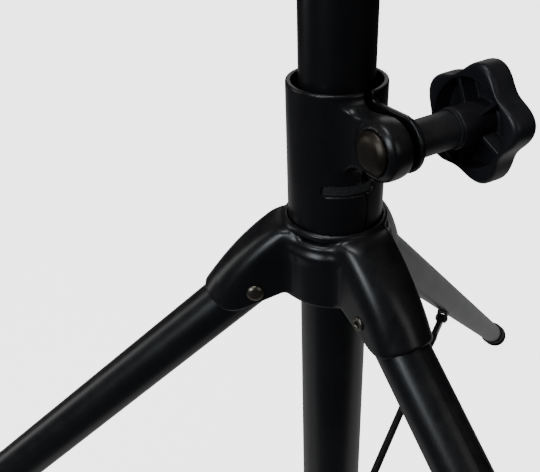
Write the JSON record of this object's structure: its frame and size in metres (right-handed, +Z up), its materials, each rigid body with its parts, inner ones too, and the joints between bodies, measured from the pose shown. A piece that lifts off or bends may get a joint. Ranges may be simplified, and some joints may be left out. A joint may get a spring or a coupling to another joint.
{
  "type": "folding music stand",
  "caption": "Folding tripod music stand: clamped telescopic mast on a braced tripod, with a tilting desk and ledge.",
  "frame": {"origin": "on the mast's axis at floor level", "axes": "+Z up along the mast, -Y towards the reader, +Y along the rear leg"},
  "size_m": [0.79, 0.6873, 1.2926],
  "materials": {
    "hub_black": "satin powder coat",
    "tube_black": "satin powder coat",
    "desk_black": "fine textured powder coat",
    "knob_plastic": "moulded, slightly shiny",
    "bush_plastic": "moulded",
    "nylon": "natural",
    "rubber_black": "moulded",
    "bolt_steel": "dark bronze plated",
    "rivet_steel": "plated",
    "brace_steel": "satin black",
    "brass": "machined"
  },
  "bodies": {
    "base": {"hub_casting": "hub_black", "clamp_sleeve": "hub_black", "guide_bush": "bush_plastic", "leg_rivets": "rivet_steel", "clamp_bolt": "bolt_steel", "clamp_spacer": "knob_plastic", "clamp_washer": "bolt_steel"},
    "clamp_knob": {"clamp_knob": "knob_plastic", "clamp_knob_insert": "brass"},
    "mast": {"main_tube": "tube_black", "tube_end_plug": "bush_plastic", "top_bush": "bush_plastic", "lower_collar": "hub_black", "collar_screw": "rivet_steel", "upper_clamp": "hub_black", "height_bolt": "bolt_steel", "height_spacer": "knob_plastic", "height_washer": "bolt_steel"},
    "height_knob": {"height_knob": "knob_plastic", "height_knob_insert": "brass"},
    "glide": {"inner_glide": "bush_plastic"},
    "riser": {"inner_tube": "tube_black", "tilt_post": "desk_black", "tilt_washers": "nylon"},
    "desk": {"desk_yoke": "desk_black", "desk_plate": "desk_black", "desk_ledge": "desk_black", "yoke_rivets": "rivet_steel", "ledge_rivets": "rivet_steel", "tilt_bolt": "bolt_steel", "tilt_knob_washer": "bolt_steel"},
    "tilt_knob": {"tilt_knob": "knob_plastic", "tilt_knob_insert": "brass"},
    "leg_1": {"leg_tube_1": "tube_black", "foot_cap_1": "rubber_black", "brace_bracket_1": "brace_steel", "brace_pin_1": "rivet_steel"},
    "brace_1": {"brace_rod_1": "brace_steel", "hook_pin_1": "rivet_steel"},
    "leg_2": {"leg_tube_2": "tube_black", "foot_cap_2": "rubber_black", "brace_bracket_2": "brace_steel", "brace_pin_2": "rivet_steel"},
    "brace_2": {"brace_rod_2": "brace_steel", "hook_pin_2": "rivet_steel"},
    "leg_3": {"leg_tube_3": "tube_black", "foot_cap_3": "rubber_black", "brace_bracket_3": "brace_steel", "brace_pin_3": "rivet_steel"},
    "brace_3": {"brace_rod_3": "brace_steel", "hook_pin_3": "rivet_steel"}
  },
  "joints": [
    {"name": "mast_fold", "type": "slide", "parent": "base", "child": "mast", "axis": [0, 0, 1], "range_m": [-0.18606, 0]},
    {"name": "leg_1_fold", "type": "hinge", "parent": "base", "child": "leg_1", "pos_m": [0, 0.03005, 0.37329], "axis": [-1, 0, 0], "range_deg": [0, 46.01]},
    {"name": "brace_1_swing", "type": "hinge", "parent": "leg_1", "child": "brace_1", "pos_m": [0, 0.18383, 0.21955], "axis": [-1, 0, 0], "range_deg": [-125.91, 0]},
    {"name": "leg_2_fold", "type": "hinge", "parent": "base", "child": "leg_2", "pos_m": [0.02602, -0.01503, 0.37329], "axis": [0.5, 0.866, 0], "range_deg": [0, 46.01]},
    {"name": "brace_2_swing", "type": "hinge", "parent": "leg_2", "child": "brace_2", "pos_m": [0.15921, -0.09192, 0.21955], "axis": [0.5, 0.866, 0], "range_deg": [-125.91, 0]},
    {"name": "leg_3_fold", "type": "hinge", "parent": "base", "child": "leg_3", "pos_m": [-0.02602, -0.01503, 0.37329], "axis": [0.5, -0.866, 0], "range_deg": [0, 46.01]},
    {"name": "brace_3_swing", "type": "hinge", "parent": "leg_3", "child": "brace_3", "pos_m": [-0.15921, -0.09192, 0.21955], "axis": [0.5, -0.866, 0], "range_deg": [-125.91, 0]},
    {"name": "clamp_knob_turn", "type": "hinge", "parent": "base", "child": "clamp_knob", "pos_m": [-0.0162, -0.03395, 0.43739], "axis": [0.5, -0.866, 0], "range_deg": [0, 540]},
    {"name": "height_knob_turn", "type": "hinge", "parent": "mast", "child": "height_knob", "pos_m": [-0.0213, 0.031, 0.734], "axis": [-1, 0, 0], "range_deg": [0, 540]},
    {"name": "height_slide", "type": "slide", "parent": "mast", "child": "glide", "axis": [0, 0, 1], "range_m": [-0.26, 0.1]},
    {"name": "desk_swivel", "type": "hinge", "parent": "glide", "child": "riser", "pos_m": [0, 0, 0.52], "axis": [0, 0, 1], "continuous": true},
    {"name": "desk_tilt", "type": "hinge", "parent": "riser", "child": "desk", "pos_m": [0, 0, 1.104], "axis": [1, 0, 0], "range_deg": [-68, 18]},
    {"name": "tilt_knob_turn", "type": "hinge", "parent": "desk", "child": "tilt_knob", "pos_m": [0.01, 0, 1.104], "axis": [1, 0, 0], "range_deg": [0, 540]}
  ],
  "couplings": [
    {"joint": "leg_1_fold", "follows": "mast_fold", "rad_per_m": -4.315},
    {"joint": "brace_1_swing", "follows": "mast_fold", "rad_per_m": 11.81},
    {"joint": "leg_2_fold", "follows": "mast_fold", "rad_per_m": -4.315},
    {"joint": "brace_2_swing", "follows": "mast_fold", "rad_per_m": 11.81},
    {"joint": "leg_3_fold", "follows": "mast_fold", "rad_per_m": -4.315},
    {"joint": "brace_3_swing", "follows": "mast_fold", "rad_per_m": 11.81}
  ]
}
